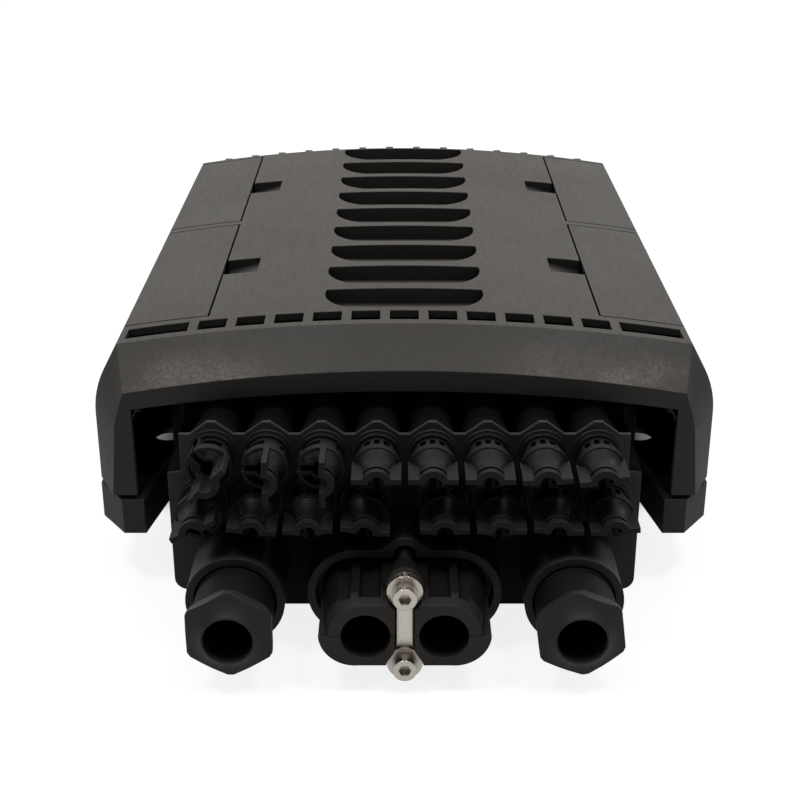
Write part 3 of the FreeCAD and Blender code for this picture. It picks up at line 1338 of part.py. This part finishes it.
def splice_tray():
    """Tray posts, the tray with its reels, its lid, two splice holders, the splitter and the tray screws."""
    posts = []
    for i, (x, y) in enumerate(tray_posts()):
        post = rod(f"post_body_{i}", (x, y, s.tub_wall), s.tray_z - s.tub_wall, s.post_radius,
                   FreeCAD.Rotation())
        bore = rod(f"post_bore_{i}", (x, y, s.tray_z - 10), 11, s.latch_pin_radius, FreeCAD.Rotation())
        posts.append(cut(f"post_{i}", post, bore))
    piece(group("post_set", posts), "tray_posts")
    body = new_body("tray")
    wall, half = s.tray_wall, s.tray_half
    outer = rounded(-half, half, s.tray_near_y, s.tray_far_y, s.tub_radius)
    inner = rounded(-half + wall, half - wall, s.tray_near_y + wall, s.tray_far_y - wall,
                    s.tub_radius - wall)
    along_z(body, "tray_block", [outer], s.tray_z, s.tray_z + s.tray_depth)
    along_z(body, "tray_hollow", [inner], s.tray_z + wall, s.tray_z + s.tray_depth + 1, cut=True)
    reel_y = (s.tray_near_y + s.tray_far_y) / 2
    reels = sketch_on(body, "reels_outline", "XY_Plane", s.tray_z + wall - 0.5)
    for side in (-1, 1):
        circle(reels, half / 2 * side, reel_y, s.reel_radius)
        circle(reels, half / 2 * side, reel_y, s.reel_radius - wall)
    grow(body, "reels", reels, s.tray_depth - wall - 2)
    pads = sketch_on(body, "screw_pads_outline", "XY_Plane", s.tray_z + wall - 0.5)
    for x, y in tray_posts():
        circle(pads, x, y, s.post_radius)
    grow(body, "screw_pads", pads, s.tray_depth - wall + 0.5)
    holes = sketch_on(body, "tray_holes_outline", "XY_Plane", s.tray_z - 1)
    for x, y in tray_posts():
        circle(holes, x, y, s.latch_pin_radius + s.clearance)
    sink(body, "tray_holes", holes, s.tray_depth + 2, backwards=True)
    piece(body, "splice_tray")
    top = s.tray_z + s.tray_depth
    lid = new_body("lid")
    along_z(lid, "lid_sheet", [outer], top, top + wall)
    lid_holes = sketch_on(lid, "lid_holes_outline", "XY_Plane", top - 1)
    for x, y in tray_posts():
        circle(lid_holes, x, y, s.latch_pin_radius + s.clearance)
    sink(lid, "lid_holes", lid_holes, wall + 2, backwards=True)
    piece(lid, "tray_lid")
    screws = []
    for i, (x, y) in enumerate(tray_posts()):
        shank = rod(f"tray_screw_shank_{i}", (x, y, s.tray_z - 8), s.tray_depth + wall + 8,
                    s.latch_pin_radius, FreeCAD.Rotation())
        head = rod(f"tray_screw_head_{i}", (x, y, top + wall), 2.2, s.latch_pin_radius * 2,
                   FreeCAD.Rotation())
        screws.append(fuse(f"tray_screw_{i}", shank, head))
    piece(group("tray_screw_set", screws), "tray_screws")
    floor = s.tray_z + wall
    holders = []
    comb_half = half * 0.4
    for i, y in enumerate((s.tray_near_y + 14, s.tray_far_y - 26)):
        comb = block(f"comb_{i}", (-comb_half, comb_half), (y, y + 12), (floor, floor + 6))
        slots = [block(f"comb_slot_{i}_{j}", (comb_half * (j - 3) / 4 - 1.4, comb_half * (j - 3) / 4 + 1.4),
                       (y - 1, y + 13), (floor + 2, floor + 7))
                 for j in range(7)]
        holders.append(cut(f"holder_{i}", comb, *slots))
    piece(group("holder_set", holders), "splice_holders")
    module = block("module", (-4, 4), (reel_y - s.reel_radius, reel_y + s.reel_radius), (floor, floor + 5))
    piece(module, "splitter_module")


def cable_clamps():
    """Saddles on the floor behind each cable way, each with two screws."""
    saddles, screws = [], []
    y = s.port_plate_y + s.saddle_gap
    floor = s.block_low + s.tub_wall
    for i, x in enumerate((-s.entry_x, -s.oval_bore_x, s.oval_bore_x, s.entry_x)):
        width = s.oval_bore_x - 1
        top = s.entry_z - s.cable_bore
        stand = block(f"saddle_block_{i}", (x - width, x + width), (y, y + 14), (floor, top + 3))
        trough = rod_y(f"saddle_trough_{i}", x, s.entry_z, y - 1, y + 15, s.cable_bore + s.clearance)
        saddles.append(cut(f"saddle_{i}", stand, trough))
        for j, side in enumerate((-1, 1)):
            at = x + (width - 2.5) * side
            screws.append(rod(f"saddle_screw_{i}_{j}", (at, y + 7, top + 3), 2.0, s.latch_pin_radius,
                              FreeCAD.Rotation()))
    piece(group("saddle_set", saddles), "cable_clamps")
    piece(group("saddle_screw_set", screws), "cable_clamp_screws")


def check():
    """Stops on a failed object, or a piece with no sound shape."""
    for thing in doc.Objects:
        if {"Invalid", "Error"} & set(thing.State):
            raise RuntimeError(f"{thing.Label} failed: {thing.State}")
    for thing in PIECES:
        if thing.Shape.isNull() or not thing.Shape.isValid():
            raise RuntimeError(f"{thing.Label} has no sound shape")


def main():
    for step in (base, cover, latches, seals_and_pins, drop_glands, round_glands, oval_port, adapter_panel,
                 fibre_adapters, splice_tray, cable_clamps):
        step()
    doc.recompute()
    check()
    os.makedirs("parts", exist_ok=True)
    for thing in PIECES:
        thing.Shape.exportStep(f"parts/{thing.Label}.step")


main()
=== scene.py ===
import json
import math

import bpy
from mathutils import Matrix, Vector


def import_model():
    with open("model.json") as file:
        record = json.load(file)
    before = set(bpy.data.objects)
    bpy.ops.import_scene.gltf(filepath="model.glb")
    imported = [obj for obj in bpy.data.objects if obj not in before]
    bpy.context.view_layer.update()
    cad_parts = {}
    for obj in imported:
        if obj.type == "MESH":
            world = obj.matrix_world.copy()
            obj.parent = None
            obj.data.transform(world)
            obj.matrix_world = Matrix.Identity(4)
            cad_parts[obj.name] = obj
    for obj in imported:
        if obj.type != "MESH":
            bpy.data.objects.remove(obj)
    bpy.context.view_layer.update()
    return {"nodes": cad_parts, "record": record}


# Looks for the fibre termination box: materials, soft edges, floor, light and camera. Lengths are in metres.

MM = 0.001
WHITE = (1.0, 1.0, 1.0, 1.0)
WARM_WHITE = (1.0, 0.965, 0.93, 1.0)

# Rays that the rounded edges and the painted shade in corners take at each point
SHADER_SAMPLES = 4

# Marks and painted light on moulded plastic: tones as shares of its pale or dark tone, and roughness in
# painted shade
DUST_PALE = 2.2
GLINT_PALE = 3.8
HOLLOW_SHADE_DARK = 0.2
SHADED_DARK = 0.1
SHADED_ROUGH = 0.9

# A pair of lengths below is a range over which a mark, a painted shade, a painted glint or the floor's glow
# comes in or fades. Sides are measured from the middle.

# Painted highlight: pale glints are painted on the visor's slope, most of all low down at its left and
# right, where the top lamps reflect.
GLINT_INNER = (25 * MM, 75 * MM)
GLINT_OUTER = (92 * MM, 108 * MM)
GLINT_DEPTH = (-140 * MM, -134 * MM)
GLINT_HEIGHT = (90 * MM, 100 * MM)
VISOR_NORMAL = Vector((0, -0.6, 0.8))
VISOR_MATCH = (0.72, 0.86)

# Painted shade: the port block's front wall between the two gland tubes is painted darker, as it lies in
# shade.
WALL_SIDE = (50 * MM, 60 * MM)
WALL_FRONT = (-173 * MM, -171 * MM)
WALL_BACK = (-150 * MM, -145 * MM)
WALL_HEIGHT = (40 * MM, 60 * MM)

# Shade is painted on the drop sockets too, between the comb and the tub, and on the insert and the nuts
# behind their front ends.
SOCKET_FRONT = -168.2 * MM
SOCKET_BACK = -112.0 * MM
SOCKET_LOW = 60.0 * MM
INSERT_SHADE = -213.0 * MM
NUT_SHADE = -212.0 * MM

# The floor glows for the camera, for gloss and as light, but not right under the box: the cut glow paints a
# shadow there.
FLOOR_SIZE = 12.0
FLOOR_PLACE = (0, 2.0, -0.4 * MM)
FLOOR_GREY = (0.27, 0.27, 0.27, 1.0)
FLOOR_SEEN = 0.84
FLOOR_MIRRORED = 0.3
FLOOR_LIT = 0.22
UNDER_SIDE = (121 * MM, 134 * MM)
UNDER_FRONT = (-90 * MM, -60 * MM)
UNDER_BACK = (120 * MM, 150 * MM)

# The world is bright from above and behind. Gloss sees a backdrop that dims to the sides.
LIT_FROM = Vector((0, 0.6, 0.8))
LIT_LEVELS = (0.02, 0.62)
LIT_RANGE = (-0.3, 0.8)
BACKDROP_AT = Vector((0, 0.8, 0.6))
BACKDROP_LEVELS = (0.25, 1.0)
BACKDROP_RANGE = (-0.25, 0.6)
ASIDE_LEVELS = (1.0, 0.2)
ASIDE_RANGE = (0.45, 0.9)

# The photograph's view
LENS_MM = 65.25
SENSOR_MM = 36.0
CLIP_START = 0.01
CAMERA_PLACE = (-1.7 * MM, -652.8 * MM, 305 * MM)
CAMERA_DOWN_DEG = 23.9

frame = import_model()
scene = bpy.context.scene


# Shader nodes


class Nodes:
    """Adds and joins shader nodes in one node tree."""

    def __init__(self, tree):
        self.tree = tree
        self.places = self.add("ShaderNodeTexCoord").outputs

    def put(self, value, socket):
        """Joins a socket to another one, or sets its value."""
        if isinstance(value, bpy.types.NodeSocket):
            self.tree.links.new(value, socket)
        else:
            socket.default_value = value

    def add(self, kind, inputs=None, **settings):
        node = self.tree.nodes.new(kind)
        for name, value in settings.items():
            setattr(node, name, value)
        for name, value in (inputs or {}).items():
            self.put(value, node.inputs[name])
        return node

    def math(self, operation, *values):
        return self.add("ShaderNodeMath", dict(enumerate(values)), operation=operation).outputs[0]

    def product(self, first, *others):
        for other in others:
            first = self.math("MULTIPLY", first, other)
        return first

    def dot(self, first, second):
        node = self.add("ShaderNodeVectorMath", {0: first, 1: second}, operation="DOT_PRODUCT")
        return node.outputs["Value"]

    def split(self, point):
        """The x, y and z of a point."""
        return self.add("ShaderNodeSeparateXYZ", {0: point}).outputs

    def noise(self, scale, detail=3.0, roughness=0.55, stretch=None):
        """Noise with features about 1/scale metres across."""
        where = self.places["Object"]
        if stretch:
            where = self.add("ShaderNodeMapping", {"Vector": where, "Scale": stretch}).outputs["Vector"]
        inputs = {"Vector": where, "Scale": scale, "Detail": detail, "Roughness": roughness}
        return self.add("ShaderNodeTexNoise", inputs).outputs["Fac"]

    def spread(self, value, low, high, start=0.3, end=0.7, soft=False):
        """Maps a value from the range start to end onto the range low to high, and keeps it there."""
        inputs = {"Value": value, "From Min": start, "From Max": end, "To Min": low, "To Max": high}
        kind = "SMOOTHSTEP" if soft else "LINEAR"
        return self.add("ShaderNodeMapRange", inputs, interpolation_type=kind).outputs["Result"]

    def mix(self, share, first, second):
        """Blends two colours."""
        inputs = {"Factor": share, 6: first, 7: second}
        return self.add("ShaderNodeMix", inputs, data_type="RGBA").outputs[2]

    def blend(self, share, first, second):
        """Blends two numbers."""
        return self.add("ShaderNodeMix", {0: share, 2: first, 3: second}, data_type="FLOAT").outputs[0]

    def bump(self, height, strength, distance, under):
        inputs = {"Height": height, "Strength": strength, "Distance": distance, "Normal": under}
        return self.add("ShaderNodeBump", inputs).outputs["Normal"]

    def rounded(self, radius):
        """A normal that rolls over sharp edges."""
        return self.add("ShaderNodeBevel", {"Radius": radius}, samples=SHADER_SAMPLES).outputs["Normal"]

    def openness(self, reach):
        """Low in holes, slots and corners, one in the open."""
        node = self.add("ShaderNodeAmbientOcclusion", {"Distance": reach}, samples=SHADER_SAMPLES)
        return node.outputs["AO"]

    def mirrored(self):
        """One for rays that gloss or glass sends out."""
        path = self.add("ShaderNodeLightPath").outputs
        return self.math("MAXIMUM", path["Is Glossy Ray"], path["Is Transmission Ray"])

    def from_camera(self):
        """One for rays from the camera."""
        return self.add("ShaderNodeLightPath").outputs["Is Camera Ray"]


# Materials


def new_material(name):
    material = bpy.data.materials.new(name)
    material.use_nodes = True
    return material, Nodes(material.node_tree)


def set_shader(n, **sockets):
    """Sets the shader's sockets, named with underscores for spaces."""
    shader = n.tree.nodes["Principled BSDF"]
    for name, value in sockets.items():
        n.put(value, shader.inputs[name.replace("_", " ")])


def grey(value, warmth=0.07):
    return (value * (1 + warmth), value, value * (1 - warmth), 1.0)


def glint_zone(n, flat):
    """One where the painted glints on the visor's slope are strongest, zero off the slope."""
    x, y, z = n.split(n.places["Object"])
    across = n.math("ABSOLUTE", x)
    inner = n.spread(across, 0.1, 1.0, *GLINT_INNER, soft=True)
    outer = n.spread(across, 1.0, 0.3, *GLINT_OUTER, soft=True)
    front = n.spread(y, 1.0, 0.0, *GLINT_DEPTH)
    low = n.spread(z, 1.0, 0.35, *GLINT_HEIGHT)
    slope = n.spread(n.dot(flat, VISOR_NORMAL), 0.0, 1.0, *VISOR_MATCH)
    return n.product(inner, outer, front, low, slope)


def port_wall_shade_mask(n):
    """One on the port block's front wall between the gland tubes, where shade is painted, zero elsewhere."""
    x, y, z = n.split(n.places["Object"])
    middle = n.spread(n.math("ABSOLUTE", x), 1.0, 0.0, *WALL_SIDE)
    behind = n.spread(y, 0.0, 1.0, *WALL_FRONT)
    before = n.spread(y, 1.0, 0.0, *WALL_BACK)
    low = n.spread(z, 1.0, 0.0, *WALL_HEIGHT)
    return n.product(middle, behind, before, low)


def moulded(name, dark, pale, rough, grain=2600.0, grain_depth=0.06 * MM, specular=0.3, pitted=0.15,
            edge=0.6 * MM, worn_and_highlit=2.0, reach=18.0 * MM, painted_glints=False, port_wall_shade=False):
    """Black moulded plastic: spark-eroded grain, cloudy sheen, faint scuffs and dust, edges paler from wear
    and painted highlight, painted shade in hollows.
    """
    material, n = new_material(name)
    cloud = n.noise(14.0, detail=4.0)
    colour = n.mix(cloud, grey(dark), grey(pale))
    dust = n.spread(n.noise(900.0, detail=2.0), 0.0, 0.22, 0.62, 0.78)
    colour = n.mix(dust, colour, grey(pale * DUST_PALE))
    rolled = n.rounded(edge)
    flat = n.add("ShaderNodeNewGeometry").outputs["Normal"]
    turned = n.spread(n.dot(rolled, flat), 1.0, 0.0, 0.86, 0.995)
    # Edges are painted paler: partly wear, partly a painted highlight where light catches them.
    edge_wear_and_highlight = n.product(turned, n.spread(n.noise(140.0), 0.15, 0.8))
    colour = n.mix(edge_wear_and_highlight, colour, grey(pale * worn_and_highlit))
    # Painted highlight: pale glints on the visor's slope, where the top lamps reflect.
    if painted_glints:
        fine = n.spread(n.noise(780.0, detail=4.0, roughness=0.6), 0.25, 1.0, 0.36, 0.7)
        patch = n.spread(n.noise(60.0, detail=3.0), 0.4, 1.0, 0.4, 0.62, soft=True)
        glint_share = n.product(fine, patch, glint_zone(n, flat))
        colour = n.mix(glint_share, colour, grey(pale * GLINT_PALE))
    # Painted shade: holes, slots and corners are painted darker.
    hollow_shade = n.spread(n.openness(reach), 0.9, 0.0, 0.15, 0.75)
    colour = n.mix(hollow_shade, colour, grey(dark * HOLLOW_SHADE_DARK))
    streaks = n.spread(n.noise(90.0, detail=4.0, stretch=(6.0, 1.0, 6.0)), -0.03, 0.04)
    shine = n.math("ADD", n.spread(cloud, rough - 0.04, rough + 0.04), streaks)
    # Painted shade: the port wall between the gland tubes is painted darker and rougher.
    if port_wall_shade:
        shaded = port_wall_shade_mask(n)
        colour = n.mix(shaded, colour, grey(dark * SHADED_DARK))
        shine = n.blend(shaded, shine, SHADED_ROUGH)
    texture = n.noise(grain, detail=2.0, roughness=0.6)
    normal = n.bump(texture, strength=0.55, distance=grain_depth, under=rolled)
    pits = n.noise(800.0, detail=3.0, roughness=0.6)
    normal = n.bump(pits, strength=pitted, distance=0.14 * MM, under=normal)
    set_shader(n, Base_Color=colour, Roughness=shine, Normal=normal, Specular_IOR_Level=specular)
    return material


def metal(name, low, high, rough, stretch):
    """Pressed or turned metal: fine lay marks, small dents, a dull film and painted shade in corners."""
    material, n = new_material(name)
    lay = n.noise(260.0, detail=4.0, stretch=stretch)
    film = n.noise(70.0, detail=4.0)
    shine = n.math("ADD", n.spread(lay, rough - 0.05, rough + 0.07), n.spread(film, -0.04, 0.06))
    normal = n.bump(lay, strength=0.08, distance=0.03 * MM, under=n.rounded(0.5 * MM))
    normal = n.bump(n.noise(300.0), strength=0.1, distance=0.05 * MM, under=normal)
    # Painted shade: corners and sockets, such as between washer and head, are painted darker.
    hollow_shade = n.spread(n.openness(3.0 * MM), 0.85, 0.0, 0.25, 0.8)
    colour = n.mix(hollow_shade, n.mix(film, grey(low), grey(high)), grey(low * 0.12, warmth=0.2))
    set_shader(n, Base_Color=colour, Roughness=shine, Normal=normal, Metallic=1.0)
    return material


def rubber(name, dark, pale):
    """Seal rubber: dull, with a powdery bloom."""
    material, n = new_material(name)
    bloom = n.noise(180.0, detail=5.0)
    colour = n.mix(n.spread(bloom, 0.0, 1.0), grey(dark), grey(pale))
    normal = n.bump(n.noise(1500.0), strength=0.3, distance=0.05 * MM, under=n.rounded(0.4 * MM))
    set_shader(n, Base_Color=colour, Roughness=n.spread(bloom, 0.7, 0.85), Normal=normal)
    return material


def tinted(name, low, high, rough):
    """Smooth moulded plastic in a colour, with faint flow marks."""
    material, n = new_material(name)
    flow = n.noise(60.0, detail=4.0, stretch=(1.0, 3.0, 1.0))
    normal = n.bump(n.noise(1400.0), strength=0.2, distance=0.04 * MM, under=n.rounded(0.4 * MM))
    shine = n.spread(flow, rough - 0.02, rough + 0.03)
    set_shader(n, Base_Color=n.mix(flow, (*low, 1.0), (*high, 1.0)), Roughness=shine, Normal=normal)
    return material


FINISHES = {
    "cover_plastic": moulded("cover_grain", dark=0.020, pale=0.032, rough=0.50, pitted=0.4, painted_glints=True),
    "latch_plastic": moulded("latch_grain", dark=0.020, pale=0.032, rough=0.50, pitted=0.3),
    "base_plastic": moulded("base_grain", dark=0.016, pale=0.026, rough=0.52, worn_and_highlit=3.6, reach=50 * MM,
                            port_wall_shade=True),
    "gland_plastic": moulded("gland_satin", dark=0.011, pale=0.019, rough=0.46, grain=3400.0,
                             grain_depth=0.03 * MM, specular=0.12, edge=0.35 * MM, worn_and_highlit=6.0, reach=26 * MM),
    "nut_plastic": moulded("nut_satin", dark=0.02, pale=0.028, rough=0.46, grain=3000.0,
                           grain_depth=0.04 * MM, specular=0.25, reach=45 * MM),
    "insert_plastic": moulded("insert_satin", dark=0.016, pale=0.026, rough=0.48, grain=3000.0,
                              grain_depth=0.04 * MM, reach=60 * MM),
    "seal_rubber": rubber("seal_bloom", dark=0.012, pale=0.02),
    "holder_rubber": rubber("holder_bloom", dark=0.2, pale=0.3),
    "pin_steel": metal("drawn_steel", low=0.5, high=0.6, rough=0.3, stretch=(1.0, 8.0, 8.0)),
    "link_steel": metal("pressed_steel", low=0.76, high=0.86, rough=0.26, stretch=(8.0, 8.0, 1.0)),
    "screw_steel": metal("screw_finish", low=0.64, high=0.76, rough=0.22, stretch=(5.0, 1.0, 5.0)),
    "bracket_metal": metal("sheet_metal", low=0.55, high=0.66, rough=0.4, stretch=(1.0, 6.0, 6.0)),
    "adapter_plastic": tinted("adapter_green", low=(0.03, 0.22, 0.09), high=(0.04, 0.27, 0.11), rough=0.35),
    "tray_plastic": tinted("tray_pale", low=(0.5, 0.51, 0.52), high=(0.58, 0.59, 0.6), rough=0.45),
    "lid_plastic": tinted("lid_pale", low=(0.68, 0.7, 0.72), high=(0.74, 0.76, 0.78), rough=0.25),
}


def dress_nodes():
    """Gives every CAD node the finish of its material slot."""
    slots = {part["node"]: part["material_slot"] for part in frame["record"]["subparts"]}
    for name, node in frame["nodes"].items():
        node.data.materials.clear()
        node.data.materials.append(FINISHES[slots[name]])


def paint_shade_on_faces(name, finish, front, back=0.0, low=0.0):
    """Gives a node's faces between two depths and above a height a second finish, a painted shade."""
    mesh = frame["nodes"][name].data
    mesh.materials.append(finish)
    second_slot = len(mesh.materials) - 1
    for face in mesh.polygons:
        _, y, z = face.center
        if front < y < back and z > low:
            face.material_index = second_slot


def shade_recesses():
    """Paints shade, as a darker and duller material, on the plastic that lies in shade: the drop sockets,
    the upper insert and the nuts' collars.
    """
    # Painted shade: a near-black material for the drop sockets.
    sockets = moulded("socket_shade", dark=0.003, pale=0.006, rough=0.8, specular=0.04, worn_and_highlit=1.5,
                      reach=50 * MM)
    paint_shade_on_faces("base_housing", sockets, SOCKET_FRONT, SOCKET_BACK, SOCKET_LOW)
    # Painted shade: a dark material for the insert's top and the nuts' collars.
    collars = moulded("collar_shade", dark=0.006, pale=0.011, rough=0.6, specular=0.12, reach=60 * MM)
    paint_shade_on_faces("oval_insert_upper", collars, INSERT_SHADE)
    for side in ("left", "right"):
        paint_shade_on_faces(f"gland_nut_{side}", collars, NUT_SHADE)


# Floor, light and camera


def floor():
    """A wide pale sheet under the box. It keeps the box's soft shadow, and its glow is cut right under the
    box, which paints a shadow there.
    """
    bpy.ops.mesh.primitive_plane_add(size=FLOOR_SIZE, location=FLOOR_PLACE)
    sheet = bpy.context.object
    sheet.name = "floor_sheet"
    material, n = new_material("pale_floor")
    x, y, _ = n.split(n.add("ShaderNodeNewGeometry").outputs["Position"])
    beside = n.spread(n.math("ABSOLUTE", x), 0.0, 1.0, *UNDER_SIDE, soft=True)
    before = n.spread(y, 1.0, 0.0, *UNDER_FRONT, soft=True)
    behind = n.spread(y, 0.0, 1.0, *UNDER_BACK, soft=True)
    # Painted shadow: the floor's glow is cut right under the box.
    clear = n.math("MAXIMUM", n.math("MAXIMUM", beside, before), behind)
    level = n.blend(n.from_camera(), n.blend(n.mirrored(), FLOOR_LIT, FLOOR_MIRRORED), FLOOR_SEEN)
    set_shader(n, Base_Color=FLOOR_GREY, Roughness=1.0, Specular_IOR_Level=0.0,
               Emission_Color=WHITE, Emission_Strength=n.product(clear, level))
    sheet.data.materials.append(material)


def world():
    """White for the camera, a backdrop for gloss, and a soft light from above and behind."""
    sky = bpy.data.worlds.new("studio")
    scene.world = sky
    sky.use_nodes = True
    n = Nodes(sky.node_tree)
    way = n.places["Generated"]
    lit = n.spread(n.dot(way, LIT_FROM), *LIT_LEVELS, *LIT_RANGE, soft=True)
    backdrop = n.spread(n.dot(way, BACKDROP_AT), *BACKDROP_LEVELS, *BACKDROP_RANGE, soft=True)
    aside = n.math("ABSOLUTE", n.dot(way, Vector((1, 0, 0))))
    backdrop = n.product(backdrop, n.spread(aside, *ASIDE_LEVELS, *ASIDE_RANGE, soft=True))
    level = n.blend(n.from_camera(), n.blend(n.mirrored(), lit, backdrop), 1.0)
    back = sky.node_tree.nodes["Background"]
    n.put(n.mix(n.from_camera(), WARM_WHITE, WHITE), back.inputs["Color"])
    n.put(level, back.inputs["Strength"])


def area_light(name, place, aim, size, watts):
    lamp = bpy.data.lights.new(name, "AREA")
    lamp.shape = "RECTANGLE"
    lamp.size, lamp.size_y = size
    lamp.energy = watts
    lamp.color = WARM_WHITE[:3]
    holder = bpy.data.objects.new(name, lamp)
    scene.collection.objects.link(holder)
    holder.location = place
    holder.rotation_euler = (Vector(aim) - Vector(place)).to_track_quat("-Z", "Y").to_euler()


def lights():
    """A wide bank behind the box, and on each side a small lamp high in front and a fill behind."""
    area_light("back_bank", place=(0, 1.1, 1.3), aim=(0, 0, 0.05), size=(1.8, 1.0), watts=3.1)
    for side, sign in (("left", -1), ("right", 1)):
        area_light(f"{side}_top", place=(0.47 * sign, -0.40, 1.32), aim=(0.09 * sign, -0.14, 0.08),
                   size=(0.25, 0.25), watts=5.0)
        area_light(f"{side}_fill", place=(1.1 * sign, 0.7, 0.6), aim=(0.1 * sign, 0, 0.06),
                   size=(0.6, 0.6), watts=3.0)


def camera():
    lens = bpy.data.cameras.new("photo_view")
    lens.lens = LENS_MM
    lens.sensor_width = SENSOR_MM
    lens.clip_start = CLIP_START
    holder = bpy.data.objects.new("photo_view", lens)
    scene.collection.objects.link(holder)
    holder.location = CAMERA_PLACE
    holder.rotation_euler = (math.radians(90 - CAMERA_DOWN_DEG), 0, 0)
    scene.camera = holder


scene.view_settings.view_transform = "Standard"
dress_nodes()
shade_recesses()
floor()
world()
lights()
camera()
